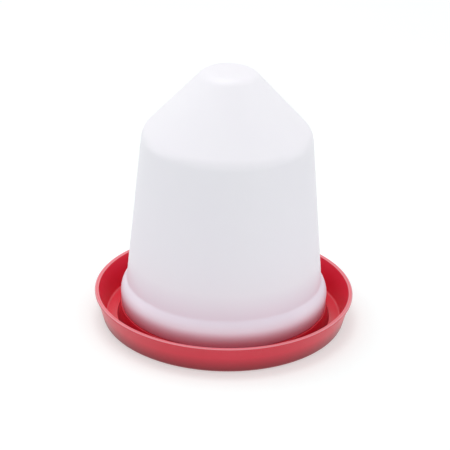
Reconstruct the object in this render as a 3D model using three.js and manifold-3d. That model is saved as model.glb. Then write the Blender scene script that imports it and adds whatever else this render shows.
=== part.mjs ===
// Poultry waterer fount: a round trough tray and the bell-shaped reservoir that stands in it.
// Millimetres, +Z up. The origin is on the fount's axis, on the surface that it stands on.
import * as THREE from "three";
import { mergeVertices } from "three/addons/utils/BufferGeometryUtils.js";
import Module from "manifold-3d";

const { degToRad } = THREE.MathUtils;

// Facets of a full turn and of a short arc, and the turn of one facet of a rounded corner.
const TURN_STEPS = 72;
const ARC_STEPS = 4;
const CORNER_FACET = degToRad(30);

// Vertices nearer than this are one vertex.
const MERGE_DISTANCE = 1e-4;

// Tray: the trough's outer wall with its rim lip, its floor, and the foot ring that it stands on.
const RIM_RADIUS = 130;
const RIM_WIDTH = 3.8;
const RIM_ROUND = 0.8;
const TRAY_HEIGHT = 30;
const LIP_HEIGHT = 2.1;
const LIP_REACH = 1.6;
const LIP_ROUND = 0.4;
const BASE_RADIUS = 121;
const BASE_ROUND = 5;
const WALL_THICKNESS = 2.6;
const FLOOR_HEIGHT = 2;
const FLOOR_ROUND = 2.6;
const FOOT_INNER_RADIUS = 102;
const FOOT_HEIGHT = 2;

// Tray: the plinth that the bell's skirt stands on, and the collar that it drops over.
const RING_THICKNESS = 2.2;
const PLINTH_BASE_RADIUS = 107;
const PLINTH_TOP_RADIUS = 103.8;
const LEDGE_HEIGHT = 15.7;
const COLLAR_RADIUS = 97.4;
const COLLAR_TOP = 32;
const RING_ROUND = 0.8;
const POOL_HEIGHT = FOOT_HEIGHT + FLOOR_HEIGHT;

// Tray: ports through the plinth, facing +Y and -Y, which let water out into the trough.
const PORT_COUNT = 2;
const PORT_WIDTH = 24;
const PORT_HEIGHT = 3.6;
const PORT_SILL = 0.4;
const PORT_ROUND = 1.2;

// Bell: skirt, shoulder, crease, drafted body, cone and crown, as its outer surface.
const SKIRT_GAP = 0.3;
const SKIRT_BOTTOM = LEDGE_HEIGHT + SKIRT_GAP;
const SKIRT_RADIUS = 102.9;
const SKIRT_EDGE_ROUND = 0.8;
const SHOULDER_RADIUS = 104.2;
const SHOULDER_HEIGHT = 35;
const SHOULDER_ROUND = 20;
const CREASE_RADIUS = 97.9;
const CREASE_HEIGHT = 43;
const CREASE_ROUND = 6;
const BODY_TOP_RADIUS = 83.8;
const BODY_TOP_HEIGHT = 200;
const BODY_TOP_ROUND = 18;
const CROWN_RADIUS = 25.4;
const CROWN_HEIGHT = 264;
const CROWN_ROUND = 16;
const BELL_HEIGHT = 265.2;
const BELL_THICKNESS = 2.2;

// Bayonet: lugs inside the skirt, and the hooks on the collar that they turn under. The bell is
// dropped in and not yet turned, so each lug stands halfway between two hooks.
const LUG_COUNT = 4;
const LUG_ARC = degToRad(16);
const LUG_TURN = degToRad(45);
const LUG_HEIGHT = 3;
const LUG_BOTTOM = 19;
const LUG_INNER_RADIUS = 98.2;
const HOOK_BOTTOM = 22.6;
const HOOK_OUTER_RADIUS = 99.8;
const WELD_DEPTH = 0.6;

// Heights and radii that follow from the driving dimensions.
const LIP_BOTTOM = TRAY_HEIGHT - LIP_HEIGHT;
const WALL_TOP_RADIUS = RIM_RADIUS - LIP_REACH;
const WALL_SLOPE = (WALL_TOP_RADIUS - BASE_RADIUS) / LIP_BOTTOM;
const TROUGH_RADIUS =
  BASE_RADIUS + WALL_SLOPE * FLOOR_HEIGHT - WALL_THICKNESS * Math.hypot(1, WALL_SLOPE);

const wasm = await Module();
wasm.setup();

// A lathe or extruded geometry as a solid that can be joined and cut.
function solidOf(geometry) {
  const bare = geometry.clone().deleteAttribute("normal").deleteAttribute("uv");
  const merged = mergeVertices(bare, MERGE_DISTANCE);
  return new wasm.Manifold(
    new wasm.Mesh({
      numProp: 3,
      vertProperties: merged.attributes.position.array,
      triVerts: new Uint32Array(merged.index.array),
    }),
  );
}

function geometryOf(solid) {
  const { vertProperties, triVerts } = solid.getMesh();
  const geometry = new THREE.BufferGeometry();
  geometry.setAttribute("position", new THREE.BufferAttribute(vertProperties, 3));
  geometry.setIndex(new THREE.BufferAttribute(triVerts, 1));
  geometry.computeVertexNormals();
  return geometry;
}

const corner = (radius, height, rounding = 0) => ({
  at: new THREE.Vector2(radius, height),
  rounding,
});

// The arc that rounds a corner, from its tangent point on the side before to the one after.
function roundedCorner(before, { at, rounding }, after) {
  if (rounding === 0) return [at.clone()];
  const back = before.at.clone().sub(at).normalize();
  const ahead = after.at.clone().sub(at).normalize();
  const halfAngle = Math.acos(back.dot(ahead)) / 2;
  const start = at.clone().addScaledVector(back, rounding / Math.tan(halfAngle));
  const middle = back.clone().add(ahead).normalize();
  const centre = at.clone().addScaledVector(middle, rounding / Math.sin(halfAngle));
  const turn = Math.sign(ahead.cross(back)) * (Math.PI - 2 * halfAngle);
  const steps = Math.ceil(Math.abs(turn) / CORNER_FACET);
  return Array.from({ length: steps + 1 }, (_, step) =>
    start.clone().rotateAround(centre, (turn * step) / steps),
  );
}

// An outline's corners, which start and end on the axis, turned into a closed solid about +Z.
function turned(corners) {
  const inner = corners.slice(1, -1);
  const points = [
    corners[0].at,
    ...inner.flatMap((each, i) => roundedCorner(corners[i], each, corners[i + 2])),
    corners.at(-1).at,
  ];
  return solidOf(new THREE.LatheGeometry(points, TURN_STEPS).rotateX(Math.PI / 2));
}

// A wall's outer corners, from its mouth to the axis, moved in by the wall's thickness.
function inset(corners, thickness) {
  const sides = corners.slice(1).map(({ at }, i) => {
    const along = at.clone().sub(corners[i].at).normalize();
    const inwards = new THREE.Vector2(-along.y, along.x);
    return { from: at.clone().addScaledVector(inwards, thickness), along };
  });
  const mouth = { from: corners[0].at, along: new THREE.Vector2(1, 0) };
  const axis = { from: new THREE.Vector2(0, 0), along: new THREE.Vector2(0, 1) };
  return corners.map(({ rounding }, i) => {
    const before = sides[i - 1] ?? mouth;
    const after = sides[i] ?? axis;
    const across = before.along.cross(after.along);
    const reach = after.from.clone().sub(before.from).cross(after.along) / across;
    const at = before.from.clone().addScaledVector(before.along, reach);
    const isEnd = i === 0 || i === corners.length - 1;
    return { at, rounding: isEnd ? rounding : rounding - Math.sign(across) * thickness };
  });
}

// A block between two radii, centred on a turn about +Z and standing on a height.
function arcBlock(innerRadius, outerRadius, turn, bottom) {
  const shape = new THREE.Shape();
  shape.absarc(0, 0, outerRadius, turn - LUG_ARC / 2, turn + LUG_ARC / 2, false);
  shape.absarc(0, 0, innerRadius, turn + LUG_ARC / 2, turn - LUG_ARC / 2, true);
  const options = { depth: LUG_HEIGHT, curveSegments: ARC_STEPS, bevelEnabled: false };
  return solidOf(new THREE.ExtrudeGeometry(shape, options).translate(0, 0, bottom));
}

// A radial cutter for one port, flat at the bottom and rounded at the top, turned from +Y.
function portCutter(turn) {
  const half = PORT_WIDTH / 2;
  const bottom = POOL_HEIGHT + PORT_SILL;
  const top = bottom + PORT_HEIGHT;
  const shape = new THREE.Shape();
  shape.moveTo(-half, bottom);
  shape.lineTo(half, bottom);
  shape.lineTo(half, top - PORT_ROUND);
  shape.absarc(half - PORT_ROUND, top - PORT_ROUND, PORT_ROUND, 0, Math.PI / 2, false);
  shape.lineTo(PORT_ROUND - half, top);
  shape.absarc(PORT_ROUND - half, top - PORT_ROUND, PORT_ROUND, Math.PI / 2, Math.PI, false);
  const depth = PLINTH_BASE_RADIUS - COLLAR_RADIUS;
  const options = { depth, curveSegments: ARC_STEPS, bevelEnabled: false };
  const cutter = new THREE.ExtrudeGeometry(shape, options).rotateX(Math.PI / 2);
  cutter.translate(0, PLINTH_BASE_RADIUS + RING_THICKNESS, 0).rotateZ(turn);
  return solidOf(cutter);
}

function makeTray() {
  const collarInner = COLLAR_RADIUS - RING_THICKNESS;
  const plinthSlope = (PLINTH_BASE_RADIUS - PLINTH_TOP_RADIUS) / (LEDGE_HEIGHT - FLOOR_HEIGHT);
  const poolRadius =
    PLINTH_BASE_RADIUS - plinthSlope * (POOL_HEIGHT - FLOOR_HEIGHT) - RING_THICKNESS;
  let tray = turned([
    corner(0, FOOT_HEIGHT),
    corner(FOOT_INNER_RADIUS - FOOT_HEIGHT, FOOT_HEIGHT),
    corner(FOOT_INNER_RADIUS, 0),
    corner(BASE_RADIUS, 0, BASE_ROUND),
    corner(WALL_TOP_RADIUS, LIP_BOTTOM),
    corner(RIM_RADIUS, LIP_BOTTOM, LIP_ROUND),
    corner(RIM_RADIUS, TRAY_HEIGHT, RIM_ROUND),
    corner(RIM_RADIUS - RIM_WIDTH, TRAY_HEIGHT, RIM_ROUND),
    corner(TROUGH_RADIUS, FLOOR_HEIGHT, FLOOR_ROUND),
    corner(PLINTH_BASE_RADIUS, FLOOR_HEIGHT, RING_ROUND),
    corner(PLINTH_TOP_RADIUS, LEDGE_HEIGHT, RING_ROUND),
    corner(COLLAR_RADIUS, LEDGE_HEIGHT),
    corner(COLLAR_RADIUS, COLLAR_TOP, RING_ROUND),
    corner(collarInner, COLLAR_TOP, RING_ROUND),
    corner(collarInner, LEDGE_HEIGHT - RING_THICKNESS),
    corner(PLINTH_TOP_RADIUS - RING_THICKNESS, LEDGE_HEIGHT - RING_THICKNESS),
    corner(poolRadius, POOL_HEIGHT),
    corner(0, POOL_HEIGHT),
  ]);
  for (let i = 0; i < PORT_COUNT; i++) {
    tray = tray.subtract(portCutter((i * 2 * Math.PI) / PORT_COUNT));
  }
  for (let i = 0; i < LUG_COUNT; i++) {
    const turn = (i * 2 * Math.PI) / LUG_COUNT;
    const hook = arcBlock(COLLAR_RADIUS - WELD_DEPTH, HOOK_OUTER_RADIUS, turn, HOOK_BOTTOM);
    tray = tray.add(hook);
  }
  return tray;
}

function makeBell() {
  const outside = [
    corner(SKIRT_RADIUS, SKIRT_BOTTOM, SKIRT_EDGE_ROUND),
    corner(SHOULDER_RADIUS, SHOULDER_HEIGHT, SHOULDER_ROUND),
    corner(CREASE_RADIUS, CREASE_HEIGHT, CREASE_ROUND),
    corner(BODY_TOP_RADIUS, BODY_TOP_HEIGHT, BODY_TOP_ROUND),
    corner(CROWN_RADIUS, CROWN_HEIGHT, CROWN_ROUND),
    corner(0, BELL_HEIGHT),
  ];
  let bell = turned([...inset(outside, BELL_THICKNESS).reverse(), ...outside]);
  const lugOuter = SKIRT_RADIUS - BELL_THICKNESS + WELD_DEPTH;
  for (let i = 0; i < LUG_COUNT; i++) {
    const turn = LUG_TURN + (i * 2 * Math.PI) / LUG_COUNT;
    bell = bell.add(arcBlock(LUG_INNER_RADIUS, lugOuter, turn, LUG_BOTTOM));
  }
  return bell;
}

const plastic = (color, roughness) =>
  new THREE.MeshStandardMaterial({ color, roughness, metalness: 0 });

function named(name, solid, material) {
  const mesh = new THREE.Mesh(geometryOf(solid), material);
  mesh.name = name;
  return mesh;
}

const fount = new THREE.Group();
fount.add(named("trough_tray", makeTray(), plastic(0xc4202c, 0.35)));
fount.add(named("reservoir_bell", makeBell(), plastic(0xf2f0f4, 0.45)));

export default fount;
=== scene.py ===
import math

import bmesh
import bpy
from mathutils import Matrix, Vector


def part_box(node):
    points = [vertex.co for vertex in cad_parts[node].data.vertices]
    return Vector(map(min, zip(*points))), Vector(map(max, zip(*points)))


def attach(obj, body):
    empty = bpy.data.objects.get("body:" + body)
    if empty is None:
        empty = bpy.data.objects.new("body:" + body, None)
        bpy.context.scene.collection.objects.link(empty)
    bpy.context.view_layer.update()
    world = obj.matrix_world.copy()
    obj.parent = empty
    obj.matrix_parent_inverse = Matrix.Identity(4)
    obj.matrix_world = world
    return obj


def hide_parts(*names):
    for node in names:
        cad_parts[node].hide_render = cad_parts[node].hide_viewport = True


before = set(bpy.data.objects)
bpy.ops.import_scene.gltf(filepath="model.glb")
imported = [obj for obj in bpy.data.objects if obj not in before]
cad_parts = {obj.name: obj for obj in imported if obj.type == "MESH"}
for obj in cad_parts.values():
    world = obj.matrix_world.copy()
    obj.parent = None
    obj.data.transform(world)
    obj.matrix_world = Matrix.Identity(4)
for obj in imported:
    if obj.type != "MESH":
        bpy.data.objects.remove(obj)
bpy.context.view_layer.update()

MM = 0.001

tray_low, tray_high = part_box("trough_tray")
bell_low, bell_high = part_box("reservoir_bell")

# Facets of a full turn, the turn of one facet of a rounding, and the longest straight facet.
TURN_STEPS = 240
ROUND_FACET = math.radians(7.5)
LONGEST_FACET = 6 * MM
SHARP_ANGLE = math.radians(38)

# Tray: rim and lip, outer wall, floor and foot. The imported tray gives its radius.
RIM_RADIUS = tray_high.x
RIM_HEIGHT = 30 * MM
RIM_WIDTH = 3.8 * MM
RIM_ROUND = 0.8 * MM
LIP_HEIGHT = 2.1 * MM
LIP_REACH = 1.6 * MM
LIP_ROUND = 0.4 * MM
BASE_RADIUS = RIM_RADIUS - 9 * MM
BASE_ROUND = 5 * MM
WALL_THICKNESS = 2.6 * MM
FLOOR_HEIGHT = 2 * MM
FLOOR_ROUND = 2.6 * MM
FOOT_HEIGHT = 2 * MM
FOOT_INNER_RADIUS = RIM_RADIUS - 28 * MM
FOOT_ROUND = 0.6 * MM

# Tray: the plinth that the bell's skirt stands on, and the collar inside the skirt.
RING_THICKNESS = 2.2 * MM
RING_ROUND = 0.8 * MM
INNER_ROUND = 0.5 * MM
PLINTH_BASE_RADIUS = RIM_RADIUS - 23 * MM
PLINTH_TOP_RADIUS = RIM_RADIUS - 26.2 * MM
LEDGE_HEIGHT = 15.7 * MM
COLLAR_RADIUS = RIM_RADIUS - 32.6 * MM
COLLAR_TOP = tray_high.z
POOL_HEIGHT = FOOT_HEIGHT + FLOOR_HEIGHT

# Tray: water ports through the plinth, facing +Y and -Y.
PORT_COUNT = 2
PORT_WIDTH = 24 * MM
PORT_HEIGHT = 3.6 * MM
PORT_SILL = 0.4 * MM
PORT_ROUND = 1.2 * MM
PORT_DEPTH = 10 * MM

# Bell: skirt, shoulder, crease, drafted body, cone and crown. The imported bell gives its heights.
BELL_HEIGHT = bell_high.z
BELL_THICKNESS = 2.2 * MM
SKIRT_BOTTOM = bell_low.z
SKIRT_RADIUS = 102.9 * MM
SKIRT_EDGE_ROUND = 0.8 * MM
SHOULDER = (104.2 * MM, 35 * MM, 20 * MM)
CREASE = (97.9 * MM, 43 * MM, 6 * MM)
BODY_TOP = (83.8 * MM, 200 * MM, 18 * MM)
CROWN = (25.4 * MM, BELL_HEIGHT - 1.2 * MM, 16 * MM)

# Bayonet: lugs inside the skirt and hooks on the collar, a quarter turn round in all.
LUG_COUNT = 4
LUG_ARC = math.radians(16)
LUG_TURN = math.radians(45)
LUG_STEPS = 12
LUG_HEIGHT = 3 * MM
LUG_ROUND = 0.5 * MM
LUG_BOTTOM = 19 * MM
LUG_INNER_RADIUS = 98.2 * MM
HOOK_BOTTOM = 22.6 * MM
HOOK_OUTER_RADIUS = 99.8 * MM
WELD_DEPTH = 0.6 * MM

# Gate mark left by moulding, under the tray's floor.
TRAY_GATE_RADIUS = 9 * MM
GATE_DEPTH = 0.5 * MM
GATE_ROUND = 0.3 * MM

# Facets of a bevelled edge, and Blender's profile number for a round one.
BEVEL_STEPS = 3
BEVEL_PROFILE = 0.5

# Bell's plastic: its two cloudy whites, and its tints: painted pink bounce light low down, painted
# shade below the crease, and painted shade with red bounce light low on the skirt. A fade is its
# two heights and the tint's share at each.
BELL_WHITES = (0.935, 0.915, 0.98), (0.955, 0.94, 0.995)
# Painted pink light low on the bell, standing in for light bounced off the red tray.
BELL_PINK_BOUNCE = (0.94, 0.865, 0.975)
# Painted shade below the crease.
BELL_CREASE_SHADE = (0.875, 0.80, 0.915)
# Painted shade with red bounce light low on the skirt.
BELL_SKIRT_SHADE_AND_RED_BOUNCE = (0.50, 0.18, 0.27)
PINK_BOUNCE_FADE = (40 * MM, 230 * MM, 0.55, 0.0)
CREASE_SHADE_FADE = (46 * MM, 70 * MM, 1.0, 0.0)
SKIRT_SHADE_AND_BOUNCE_FADE = (SKIRT_BOTTOM, SKIRT_BOTTOM + 17 * MM, 0.9, 0.0)

# Bell's plastic: its gloss, its translucency, and its noises, with their bumps' strength and depth.
BELL_IOR = 1.5
BELL_ROUGHNESS = (0.36, 0.46)
SUBSURFACE_WEIGHT = 0.15
SUBSURFACE_RADIUS = (1.0, 0.9, 1.0)
SUBSURFACE_SCALE = 6 * MM
BELL_CLOUD = {"scale": 14, "detail": 3, "stretch": (1, 1, 0.5)}
BELL_FLOW = {"scale": 90, "detail": 2, "stretch": (1, 1, 0.06)}
BELL_FLOW_BUMP = (0.2, 0.2 * MM)
BELL_GRAIN = {"scale": 1400, "detail": 2}
BELL_GRAIN_BUMP = (0.25, 0.05 * MM)

# Tray's plastic: its two cloudy reds, the rim's edges paled by a painted highlight and some wear,
# and painted shade low outside. The rim's edges are each two radii and the paling's share at each.
TRAY_REDS = (0.85, 0.020, 0.052), (0.89, 0.024, 0.062)
# Paler rim edges: a painted highlight, with some wear.
RIM_SHINE_AND_WEAR = (0.82, 0.29, 0.33)
# Painted shade low on the outer wall, darker towards the floor.
FOOT_SHADE = (0.15, 0.006, 0.013)
RIM_SHINE_FADE = (RIM_HEIGHT - 0.7 * MM, RIM_HEIGHT - 0.2 * MM, 0.0, 1.0)
RIM_MIDDLE = RIM_RADIUS - RIM_WIDTH / 2
OUTER_EDGE = (RIM_MIDDLE, RIM_MIDDLE + 1.2 * MM, 0.25, 1.0)
INNER_EDGE = (RIM_MIDDLE - 1.2 * MM, RIM_MIDDLE, 0.7, 0.25)
FOOT_SHADE_FADE = (2 * MM, 18 * MM, 0.9, 0.27)

# Tray's plastic: its gloss and its noises, with their bumps' strength and depth.
TRAY_IOR = 1.6
TRAY_ROUGHNESS = (0.28, 0.34)
TRAY_CLOUD = {"scale": 25, "detail": 3}
TRAY_GLOSS = {"scale": 120, "detail": 3}
TRAY_FLOW = {"scale": 40, "detail": 1}
TRAY_FLOW_BUMP = (0.1, 0.1 * MM)
TRAY_SKIN = {"scale": 1500, "detail": 2}
TRAY_SKIN_BUMP = (0.1, 0.02 * MM)

# The middle range of a noise, which is spread over a texture's whole range.
NOISE_MIDDLE = (0.3, 0.7)

# Camera: its aim, distance, height above the horizon, roll and lens.
CAMERA_AIM = Vector((-0.3 * MM, 0, 100 * MM))
CAMERA_DISTANCE = 1.9905
CAMERA_ELEVATION = math.radians(25.3)
CAMERA_ROLL = 0.024
CAMERA_LENS = 160
CAMERA_SENSOR = 36

# Studio: a white dome, four soft lights, each with its place, size and power, and the floor,
# whose whites are short of red so that the light off the tray doesn't tint it.
DOME_LIGHT = 0.62
DOME_SEEN = 1.0
LIGHTS = {
    "overhead_light": ((-0.25, 0.3, 1.9), (1.1, 1.1), 11.5),
    "front_light": ((0.3, -2.4, 0.4), (6.0, 0.9), 18.5),
    "right_light": ((2.4, 0.3, 0.5), (1.5, 1.0), 7.5),
    "left_light": ((-2.4, 0.3, 0.5), (1.5, 1.0), 6.5),
}
FLOOR_HALF = 4.0
FLOOR_WHITES = (0.61, 0.655, 0.65), (0.63, 0.675, 0.67)
FLOOR_GLOW = 0.42
FLOOR_ROUGHNESS = 0.8
FLOOR_TONE = {"scale": 3, "detail": 2}


def corner(radius, height, rounding=0.0):
    return Vector((radius, height)), rounding


def rounded_corner(before, here, after):
    """The arc that rounds a corner, from its tangent point on the side before to the one after."""
    at, rounding = here
    if rounding == 0:
        return [at]
    back = (before[0] - at).normalized()
    ahead = (after[0] - at).normalized()
    half_angle = back.angle(ahead) / 2
    start = at + back * (rounding / math.tan(half_angle))
    centre = at + (back + ahead).normalized() * (rounding / math.sin(half_angle))
    turn = math.copysign(math.pi - 2 * half_angle, ahead.cross(back))
    steps = max(2, math.ceil(abs(turn) / ROUND_FACET))
    spoke = start - centre
    return [centre + Matrix.Rotation(turn * i / steps, 2) @ spoke for i in range(steps + 1)]


def fine_outline(corners):
    """Points along an outline whose ends are on the axis, with arcs at its corners."""
    points = [corners[0][0]]
    for before, here, after in zip(corners, corners[1:], corners[2:]):
        points += rounded_corner(before, here, after)
    points.append(corners[-1][0])
    fine = [points[0]]
    for start, end in zip(points, points[1:]):
        parts = max(1, math.ceil((end - start).length / LONGEST_FACET))
        fine += [start.lerp(end, i / parts) for i in range(1, parts + 1)]
    return fine


def turned(name, corners):
    """An outline turned about +Z into a closed solid."""
    outline = fine_outline(corners)
    mesh = bmesh.new()
    rings = []
    for radius, height in outline[1:-1]:
        angles = [2 * math.pi * i / TURN_STEPS for i in range(TURN_STEPS)]
        circle = [(radius * math.cos(a), radius * math.sin(a), height) for a in angles]
        rings.append([mesh.verts.new(point) for point in circle])
    start = mesh.verts.new((0, 0, outline[0].y))
    end = mesh.verts.new((0, 0, outline[-1].y))
    for i in range(TURN_STEPS):
        j = (i + 1) % TURN_STEPS
        mesh.faces.new((start, rings[0][j], rings[0][i]))
        mesh.faces.new((end, rings[-1][i], rings[-1][j]))
        for low, high in zip(rings, rings[1:]):
            mesh.faces.new((low[i], low[j], high[j], high[i]))
    bmesh.ops.recalc_face_normals(mesh, faces=mesh.faces)
    return new_object(name, mesh)


def new_object(name, mesh):
    data = bpy.data.meshes.new(name)
    mesh.to_mesh(data)
    mesh.free()
    piece = bpy.data.objects.new(name, data)
    bpy.context.scene.collection.objects.link(piece)
    return piece


def inset(corners, thickness):
    """A wall's outer corners, from its mouth to the axis, moved in by the wall's thickness."""
    sides = []
    for (start, _), (end, _) in zip(corners, corners[1:]):
        along = (end - start).normalized()
        sides.append((end + Vector((-along.y, along.x)) * thickness, along))
    mouth = (corners[0][0], Vector((1, 0)))
    axis = (Vector((0, 0)), Vector((0, 1)))
    inner = []
    for i, (_, rounding) in enumerate(corners):
        before, along = sides[i - 1] if i > 0 else mouth
        after, onward = sides[i] if i < len(sides) else axis
        across = along.cross(onward)
        at = before + along * ((after - before).cross(onward) / across)
        is_end = i in (0, len(sides))
        inner.append((at, rounding if is_end else rounding - math.copysign(thickness, across)))
    return inner


def extruded(name, outline, height, rounding):
    """A flat outline in XY raised to a height, with its edges rounded."""
    mesh = bmesh.new()
    face = mesh.faces.new([mesh.verts.new((x, y, 0)) for x, y in outline])
    raised = bmesh.ops.extrude_face_region(mesh, geom=[face])["geom"]
    top = [v for v in raised if isinstance(v, bmesh.types.BMVert)]
    bmesh.ops.translate(mesh, verts=top, vec=(0, 0, height))
    bmesh.ops.recalc_face_normals(mesh, faces=mesh.faces)
    sharp = [e for e in mesh.edges if e.calc_face_angle() > SHARP_ANGLE]
    shape = {"offset": rounding, "segments": BEVEL_STEPS, "profile": BEVEL_PROFILE}
    bmesh.ops.bevel(mesh, geom=sharp, affect="EDGES", **shape)
    return new_object(name, mesh)


def arc_block(name, inner_radius, outer_radius, turn, bottom):
    """A block between two radii, centred on a turn about +Z and standing on a height."""
    angles = [turn + LUG_ARC * (i / LUG_STEPS - 0.5) for i in range(LUG_STEPS + 1)]
    outline = [(outer_radius * math.cos(a), outer_radius * math.sin(a)) for a in angles]
    outline += [(inner_radius * math.cos(a), inner_radius * math.sin(a)) for a in reversed(angles)]
    block = extruded(name, outline, LUG_HEIGHT, LUG_ROUND)
    block.data.transform(Matrix.Translation((0, 0, bottom)))
    return block


def port_cutter(turn):
    """A radial cutter for one port through the plinth, turned from +Y."""
    half_width, half_height = PORT_WIDTH / 2, PORT_HEIGHT / 2
    outline = [(-half_width, -half_height), (half_width, -half_height)]
    outline += [(half_width, half_height), (-half_width, half_height)]
    cutter = extruded("port_cutter", outline, PORT_DEPTH, PORT_ROUND)
    centre = Vector((0, PLINTH_TOP_RADIUS + PORT_DEPTH / 2, POOL_HEIGHT + PORT_SILL + half_height))
    upright = Matrix.Rotation(math.pi / 2, 4, "X")
    cutter.data.transform(Matrix.Rotation(turn, 4, "Z") @ Matrix.Translation(centre) @ upright)
    return cutter


def combine(piece, tool, operation):
    """Joins a tool to a piece or cuts it out, and removes the tool."""
    modifier = piece.modifiers.new("combine", "BOOLEAN")
    modifier.operation = operation
    modifier.solver = "EXACT"
    modifier.object = tool
    evaluated = piece.evaluated_get(bpy.context.evaluated_depsgraph_get())
    combined = bpy.data.meshes.new_from_object(evaluated)
    piece.modifiers.clear()
    piece.data = combined
    bpy.data.objects.remove(tool)


def smooth(piece):
    """Smooth shading with sharp edges kept, and large faces kept flat."""
    piece.data.shade_smooth()
    piece.data.set_sharp_from_angle(angle=SHARP_ANGLE)
    weighted = piece.modifiers.new("weighted_normals", "WEIGHTED_NORMAL")
    weighted.keep_sharp = True


def make_tray():
    wall_slope = (BASE_RADIUS - (RIM_RADIUS - LIP_REACH)) / (RIM_HEIGHT - LIP_HEIGHT)
    wall_across = WALL_THICKNESS * math.hypot(1, wall_slope)
    trough_radius = BASE_RADIUS - wall_slope * FLOOR_HEIGHT - wall_across
    plinth_slope = (PLINTH_BASE_RADIUS - PLINTH_TOP_RADIUS) / (LEDGE_HEIGHT - FLOOR_HEIGHT)
    pool_radius = PLINTH_BASE_RADIUS - plinth_slope * (POOL_HEIGHT - FLOOR_HEIGHT) - RING_THICKNESS
    collar_inner = COLLAR_RADIUS - RING_THICKNESS
    ceiling = LEDGE_HEIGHT - RING_THICKNESS
    tray = turned("trough_tray_moulding", [
        corner(0, FOOT_HEIGHT + GATE_DEPTH),
        corner(TRAY_GATE_RADIUS, FOOT_HEIGHT + GATE_DEPTH, GATE_ROUND),
        corner(TRAY_GATE_RADIUS, FOOT_HEIGHT, GATE_ROUND / 2),
        corner(FOOT_INNER_RADIUS - FOOT_HEIGHT, FOOT_HEIGHT, FOOT_ROUND),
        corner(FOOT_INNER_RADIUS, 0, FOOT_ROUND),
        corner(BASE_RADIUS, 0, BASE_ROUND),
        corner(RIM_RADIUS - LIP_REACH, RIM_HEIGHT - LIP_HEIGHT, LIP_ROUND),
        corner(RIM_RADIUS, RIM_HEIGHT - LIP_HEIGHT, LIP_ROUND),
        corner(RIM_RADIUS, RIM_HEIGHT, RIM_ROUND),
        corner(RIM_RADIUS - RIM_WIDTH, RIM_HEIGHT, RIM_ROUND),
        corner(trough_radius, FLOOR_HEIGHT, FLOOR_ROUND),
        corner(PLINTH_BASE_RADIUS, FLOOR_HEIGHT, RING_ROUND),
        corner(PLINTH_TOP_RADIUS, LEDGE_HEIGHT, RING_ROUND),
        corner(COLLAR_RADIUS, LEDGE_HEIGHT, INNER_ROUND),
        corner(COLLAR_RADIUS, COLLAR_TOP, RING_ROUND),
        corner(collar_inner, COLLAR_TOP, RING_ROUND),
        corner(collar_inner, ceiling, INNER_ROUND),
        corner(PLINTH_TOP_RADIUS - RING_THICKNESS, ceiling, INNER_ROUND),
        corner(pool_radius, POOL_HEIGHT, INNER_ROUND),
        corner(0, POOL_HEIGHT),
    ])
    for i in range(PORT_COUNT):
        combine(tray, port_cutter(2 * math.pi * i / PORT_COUNT), "DIFFERENCE")
    for i in range(LUG_COUNT):
        turn = 2 * math.pi * i / LUG_COUNT
        hook = arc_block("hook", COLLAR_RADIUS - WELD_DEPTH, HOOK_OUTER_RADIUS, turn, HOOK_BOTTOM)
        combine(tray, hook, "UNION")
    smooth(tray)
    return tray


def make_bell():
    outside = [
        corner(SKIRT_RADIUS, SKIRT_BOTTOM, SKIRT_EDGE_ROUND),
        corner(*SHOULDER),
        corner(*CREASE),
        corner(*BODY_TOP),
        corner(*CROWN),
        corner(0, BELL_HEIGHT),
    ]
    inside = inset(outside, BELL_THICKNESS)
    bell = turned("reservoir_bell_shell", list(reversed(inside)) + outside)
    lug_outer = SKIRT_RADIUS - BELL_THICKNESS + WELD_DEPTH
    for i in range(LUG_COUNT):
        turn = LUG_TURN + 2 * math.pi * i / LUG_COUNT
        combine(bell, arc_block("lug", LUG_INNER_RADIUS, lug_outer, turn, LUG_BOTTOM), "UNION")
    smooth(bell)
    return bell


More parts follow.
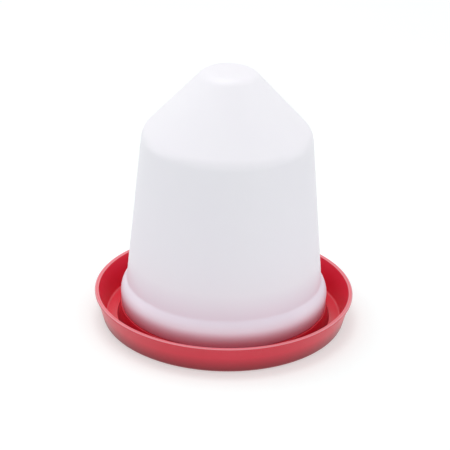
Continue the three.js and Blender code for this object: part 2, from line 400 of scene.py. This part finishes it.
class Nodes:
    """A material's node tree, with short calls for adding and joining nodes."""

    def __init__(self, name):
        self.material = bpy.data.materials.new(name)
        self.material.use_nodes = True
        self.tree = self.material.node_tree
        self.shader = self.tree.nodes["Principled BSDF"]

    def add(self, kind, **settings):
        node = self.tree.nodes.new(kind)
        for key, value in settings.items():
            setattr(node, key, value)
        return node

    def link(self, output, target):
        self.tree.links.new(output, target)

    def noise(self, scale, detail, stretch=(1, 1, 1)):
        """A noise value at a point of the piece, with its grain stretched along the axes."""
        place = self.add("ShaderNodeTexCoord")
        mapping = self.add("ShaderNodeMapping")
        mapping.inputs["Scale"].default_value = stretch
        texture = self.add("ShaderNodeTexNoise")
        texture.inputs["Scale"].default_value = scale
        texture.inputs["Detail"].default_value = detail
        self.link(place.outputs["Object"], mapping.inputs["Vector"])
        self.link(mapping.outputs["Vector"], texture.inputs["Vector"])
        return texture.outputs["Fac"]

    def ranged(self, value, low, high, to_low=0.0, to_high=1.0):
        """A value's range mapped to another and held inside it."""
        node = self.add("ShaderNodeMapRange")
        ends = {"From Min": low, "From Max": high, "To Min": to_low, "To Max": to_high}
        for key, number in ends.items():
            node.inputs[key].default_value = number
        self.link(value, node.inputs["Value"])
        return node.outputs["Result"]

    def by_height(self, low, high, to_low, to_high):
        """A value that goes from one number to another between two heights of the piece."""
        place = self.add("ShaderNodeTexCoord")
        height = self.add("ShaderNodeSeparateXYZ")
        self.link(place.outputs["Object"], height.inputs["Vector"])
        return self.ranged(height.outputs["Z"], low, high, to_low, to_high)

    def spoke(self):
        """The vector from the piece's axis straight out to a point of the piece."""
        place = self.add("ShaderNodeTexCoord")
        level = self.add("ShaderNodeVectorMath", operation="MULTIPLY")
        level.inputs[1].default_value = (1, 1, 0)
        self.link(place.outputs["Object"], level.inputs[0])
        return level.outputs["Vector"]

    def by_radius(self, low, high, to_low, to_high):
        """A value that goes from one number to another between two distances from the axis."""
        radius = self.add("ShaderNodeVectorMath", operation="LENGTH")
        self.link(self.spoke(), radius.inputs[0])
        return self.ranged(radius.outputs["Value"], low, high, to_low, to_high)

    def facing_out(self):
        """How far the surface faces away from the piece's axis: one where it faces straight out."""
        place = self.add("ShaderNodeTexCoord")
        unit = self.add("ShaderNodeVectorMath", operation="NORMALIZE")
        facing = self.add("ShaderNodeVectorMath", operation="DOT_PRODUCT")
        self.link(self.spoke(), unit.inputs[0])
        self.link(unit.outputs["Vector"], facing.inputs[0])
        self.link(place.outputs["Normal"], facing.inputs[1])
        return self.ranged(facing.outputs["Value"], 0, 1)

    def joined(self, operation, first, second):
        """Two values put together by a Math node's operation."""
        node = self.add("ShaderNodeMath", operation=operation)
        self.link(first, node.inputs[0])
        self.link(second, node.inputs[1])
        return node.outputs["Value"]

    def blended(self, share, first, second):
        """A colour between two, each a colour or another node's output."""
        node = self.add("ShaderNodeMix", data_type="RGBA")
        self.link(share, node.inputs["Factor"])
        for key, colour in (("A", first), ("B", second)):
            socket = next(s for s in node.inputs if s.name == key and s.type == "RGBA")
            if isinstance(colour, bpy.types.NodeSocket):
                self.link(colour, socket)
            else:
                socket.default_value = (*colour, 1)
        return next(s for s in node.outputs if s.type == "RGBA")

    def bump(self, height, strength, distance, before=None):
        node = self.add("ShaderNodeBump")
        node.inputs["Strength"].default_value = strength
        node.inputs["Distance"].default_value = distance
        self.link(height, node.inputs["Height"])
        if before is not None:
            self.link(before, node.inputs["Normal"])
        return node.outputs["Normal"]


def bell_plastic():
    """Natural white polyethylene: satin, faintly cloudy, with drawn flow lines.

    It has painted pink bounce light lower down, painted shade below the crease, and painted
    shade with red bounce light low on the skirt, where the tray's red shows through it.
    """
    nodes = Nodes("bell_white_plastic")
    shader = nodes.shader
    shader.inputs["Subsurface Weight"].default_value = SUBSURFACE_WEIGHT
    shader.inputs["Subsurface Radius"].default_value = SUBSURFACE_RADIUS
    shader.inputs["Subsurface Scale"].default_value = SUBSURFACE_SCALE
    shader.inputs["IOR"].default_value = BELL_IOR
    cloud = nodes.ranged(nodes.noise(**BELL_CLOUD), *NOISE_MIDDLE)
    colour = nodes.blended(cloud, *BELL_WHITES)
    # Painted pink bounce light, stronger lower down.
    colour = nodes.blended(nodes.by_height(*PINK_BOUNCE_FADE), colour, BELL_PINK_BOUNCE)
    # Painted shade below the crease.
    colour = nodes.blended(nodes.by_height(*CREASE_SHADE_FADE), colour, BELL_CREASE_SHADE)
    # Painted shade with red bounce light low on the skirt.
    colour = nodes.blended(nodes.by_height(*SKIRT_SHADE_AND_BOUNCE_FADE), colour, BELL_SKIRT_SHADE_AND_RED_BOUNCE)
    nodes.link(colour, shader.inputs["Base Color"])
    flow = nodes.noise(**BELL_FLOW)
    nodes.link(nodes.ranged(flow, *NOISE_MIDDLE, *BELL_ROUGHNESS), shader.inputs["Roughness"])
    grain = nodes.bump(nodes.noise(**BELL_GRAIN), *BELL_GRAIN_BUMP)
    nodes.link(nodes.bump(flow, *BELL_FLOW_BUMP, grain), shader.inputs["Normal"])
    return nodes.material


def tray_plastic():
    """Moulded red plastic: satin-gloss, with a fine skin, a rim paled by a painted highlight and
    some wear, and painted shade low outside.
    """
    nodes = Nodes("tray_red_plastic")
    shader = nodes.shader
    shader.inputs["IOR"].default_value = TRAY_IOR
    cloud = nodes.ranged(nodes.noise(**TRAY_CLOUD), *NOISE_MIDDLE)
    colour = nodes.blended(cloud, *TRAY_REDS)
    # Painted highlight, with some wear, on the rim's top edges.
    edges = nodes.joined("MAXIMUM", nodes.by_radius(*OUTER_EDGE), nodes.by_radius(*INNER_EDGE))
    rim_shine = nodes.joined("MULTIPLY", nodes.by_height(*RIM_SHINE_FADE), edges)
    colour = nodes.blended(rim_shine, colour, RIM_SHINE_AND_WEAR)
    # Painted shade on the outer wall, darker towards the floor.
    foot_shade = nodes.joined("MULTIPLY", nodes.by_height(*FOOT_SHADE_FADE), nodes.facing_out())
    nodes.link(nodes.blended(foot_shade, colour, FOOT_SHADE), shader.inputs["Base Color"])
    gloss = nodes.ranged(nodes.noise(**TRAY_GLOSS), *NOISE_MIDDLE, *TRAY_ROUGHNESS)
    nodes.link(gloss, shader.inputs["Roughness"])
    skin = nodes.bump(nodes.noise(**TRAY_SKIN), *TRAY_SKIN_BUMP)
    flow = nodes.bump(nodes.noise(**TRAY_FLOW), *TRAY_FLOW_BUMP, skin)
    nodes.link(flow, shader.inputs["Normal"])
    return nodes.material


def floor_paint():
    """Matt white that the camera sees brighter than the light that comes up from it."""
    nodes = Nodes("floor_paint")
    tone = nodes.ranged(nodes.noise(**FLOOR_TONE), *NOISE_MIDDLE)
    nodes.link(nodes.blended(tone, *FLOOR_WHITES), nodes.shader.inputs["Base Color"])
    nodes.shader.inputs["Roughness"].default_value = FLOOR_ROUGHNESS
    path = nodes.add("ShaderNodeLightPath")
    glow = nodes.ranged(path.outputs["Is Diffuse Ray"], 0, 1, FLOOR_GLOW, 0)
    nodes.link(glow, nodes.shader.inputs["Emission Strength"])
    nodes.shader.inputs["Emission Color"].default_value = (1, 1, 1, 1)
    nodes.material.cycles.emission_sampling = "NONE"
    return nodes.material


def fit_piece(piece, node, body, material):
    piece.data.materials.clear()
    piece.data.materials.append(material)
    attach(piece, body)
    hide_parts(node)


def make_floor():
    mesh = bmesh.new()
    for turn in range(4):
        angle = math.radians(45 + 90 * turn)
        reach = FLOOR_HALF * math.sqrt(2)
        mesh.verts.new((reach * math.cos(angle), reach * math.sin(angle), tray_low.z))
    mesh.faces.new(list(mesh.verts))
    floor = new_object("floor", mesh)
    floor.data.materials.append(floor_paint())


def soft_light(name, place, size, power):
    """A soft rectangular light that faces the fount and isn't seen itself."""
    lamp = bpy.data.lights.new(name, "AREA")
    lamp.shape = "RECTANGLE"
    lamp.size, lamp.size_y = size
    lamp.energy = power
    light = bpy.data.objects.new(name, lamp)
    light.location = place
    light.rotation_euler = (CAMERA_AIM - Vector(place)).to_track_quat("-Z", "Y").to_euler()
    light.visible_camera = False
    bpy.context.scene.collection.objects.link(light)


def make_world():
    """A white dome whose light is weaker than the white that the camera sees."""
    world = bpy.data.worlds.new("studio")
    world.use_nodes = True
    tree = world.node_tree
    path = tree.nodes.new("ShaderNodeLightPath")
    level = tree.nodes.new("ShaderNodeMapRange")
    level.inputs["To Min"].default_value = DOME_SEEN
    level.inputs["To Max"].default_value = DOME_LIGHT
    tree.links.new(path.outputs["Is Diffuse Ray"], level.inputs["Value"])
    tree.links.new(level.outputs["Result"], tree.nodes["Background"].inputs["Strength"])
    tree.nodes["Background"].inputs["Color"].default_value = (1, 1, 1, 1)
    world.cycles.sampling_method = "NONE"
    bpy.context.scene.world = world


def make_camera():
    lens = bpy.data.cameras.new("camera")
    lens.lens = CAMERA_LENS
    lens.sensor_width = CAMERA_SENSOR
    camera = bpy.data.objects.new("camera", lens)
    back = Vector((0, -math.cos(CAMERA_ELEVATION), math.sin(CAMERA_ELEVATION)))
    camera.rotation_mode = "QUATERNION"
    camera.location = CAMERA_AIM + back * CAMERA_DISTANCE
    level = (-back).to_track_quat("-Z", "Y").to_matrix()
    camera.rotation_quaternion = (level @ Matrix.Rotation(CAMERA_ROLL, 3, "Z")).to_quaternion()
    bpy.context.scene.collection.objects.link(camera)
    bpy.context.scene.camera = camera


make_camera()
make_world()
make_floor()
for name, (place, size, power) in LIGHTS.items():
    soft_light(name, place, size, power)
fit_piece(make_tray(), "trough_tray", "tray", tray_plastic())
fit_piece(make_bell(), "reservoir_bell", "reservoir", bell_plastic())
bpy.context.scene.view_settings.view_transform = "Standard"
